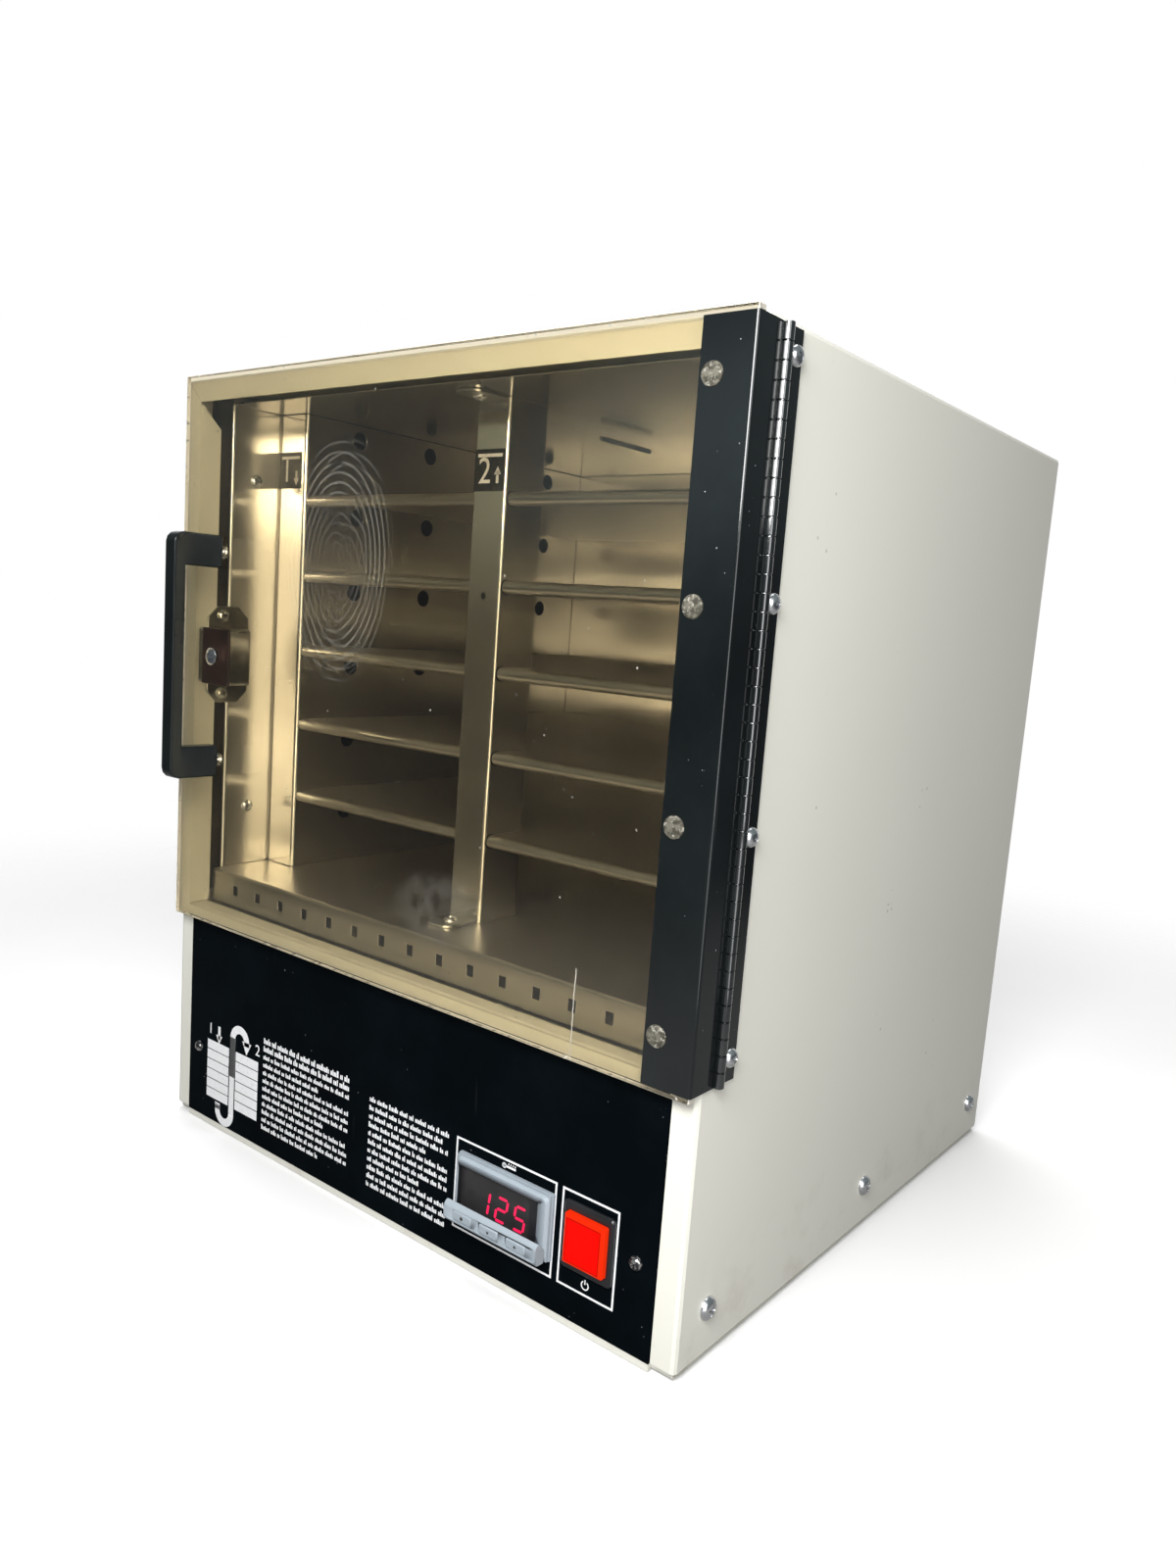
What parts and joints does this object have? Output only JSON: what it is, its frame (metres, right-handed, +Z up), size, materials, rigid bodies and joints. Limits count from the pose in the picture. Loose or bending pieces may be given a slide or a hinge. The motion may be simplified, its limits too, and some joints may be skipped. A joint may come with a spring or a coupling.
{
  "type": "bath wipe warming cabinet",
  "caption": "Countertop warming cabinet: cream steel shell, tinted door on a continuous hinge, steel shelf rack inside, black control panel with digital controller and lit power button below.",
  "frame": {"origin": "centre of the base pan's underside, under the middle of the outer shell", "axes": "+X to the right seen from the front, +Y to the back, +Z up; the door faces -Y"},
  "size_m": [0.3373, 0.3533, 0.3845],
  "materials": {
    "cream_paint": "satin cream powder paint",
    "stainless": "bright rolled stainless sheet",
    "black_paint": "satin black",
    "black_plastic": "black moulded plastic",
    "rivet_alloy": "dull alloy",
    "zinc_plate": "bright zinc",
    "strike_paint": "dark maroon",
    "controller_grey": "grey moulded plastic",
    "display_window": "dark red window",
    "button_red": "translucent red, lit",
    "insulation": "black fibre blanket",
    "heater_mat": "silicone heater mat",
    "bronze_acrylic": "tinted clear acrylic"
  },
  "bodies": {
    "cabinet": {"outer_wrapper": "cream_paint", "base_pan": "cream_paint", "base_rail_left": "cream_paint", "base_rail_right": "cream_paint", "rear_panel": "cream_paint", "control_panel": "black_paint", "chamber_liner": "stainless", "chamber_ceiling": "stainless", "chamber_floor": "stainless", "insulation_jacket": "insulation", "air_duct_left": "stainless", "air_duct_right": "stainless", "centre_post": "stainless", "shelf_1": "stainless", "shelf_2": "stainless", "shelf_3": "stainless", "shelf_4": "stainless", "shelf_5": "stainless", "heater_plate": "heater_mat", "temperature_probe": "stainless", "catch_plate": "black_plastic", "catch_magnet": "black_plastic", "catch_screw_1": "zinc_plate", "catch_screw_2": "zinc_plate", "controller": "controller_grey", "controller_lip": "controller_grey", "display_lens": "display_window", "switch_bezel": "black_plastic", "power_inlet": "black_plastic", "side_screw_left_1": "zinc_plate", "side_screw_left_2": "zinc_plate", "side_screw_left_3": "zinc_plate", "side_screw_right_1": "zinc_plate", "side_screw_right_2": "zinc_plate", "side_screw_right_3": "zinc_plate", "panel_screw_left": "black_paint", "panel_screw_right": "black_paint", "hinge_leaf": "black_paint", "hinge_pin": "zinc_plate", "hinge_screw_1": "zinc_plate", "hinge_screw_2": "zinc_plate", "hinge_screw_3": "zinc_plate", "hinge_screw_4": "zinc_plate"},
    "door": {"door_pane": "bronze_acrylic", "hinge_angle": "black_paint", "rivet_1": "rivet_alloy", "rivet_2": "rivet_alloy", "rivet_3": "rivet_alloy", "rivet_4": "rivet_alloy", "pull_handle": "black_plastic", "handle_screw_1": "zinc_plate", "handle_screw_2": "zinc_plate", "strike_plate": "strike_paint", "strike_bolt": "zinc_plate"},
    "power_button": {"power_button": "button_red"},
    "key_1": {"controller_key_1": "controller_grey"},
    "key_2": {"controller_key_2": "controller_grey"},
    "key_3": {"controller_key_3": "controller_grey"}
  },
  "joints": [
    {"name": "door_hinge", "type": "hinge", "parent": "cabinet", "child": "door", "pos_m": [0.16735, -0.1485, 0.2485], "axis": [0, 0, 1], "range_deg": [0, 170]},
    {"name": "power_button_push", "type": "slide", "parent": "cabinet", "child": "power_button", "axis": [0, 1, 0], "range_m": [0, 0.0025], "stiffness_N_per_m": 300},
    {"name": "key_1_push", "type": "slide", "parent": "cabinet", "child": "key_1", "axis": [0, 1, 0], "range_m": [0, 0.0008], "stiffness_N_per_m": 400},
    {"name": "key_2_push", "type": "slide", "parent": "cabinet", "child": "key_2", "axis": [0, 1, 0], "range_m": [0, 0.0008], "stiffness_N_per_m": 400},
    {"name": "key_3_push", "type": "slide", "parent": "cabinet", "child": "key_3", "axis": [0, 1, 0], "range_m": [0, 0.0008], "stiffness_N_per_m": 400}
  ]
}
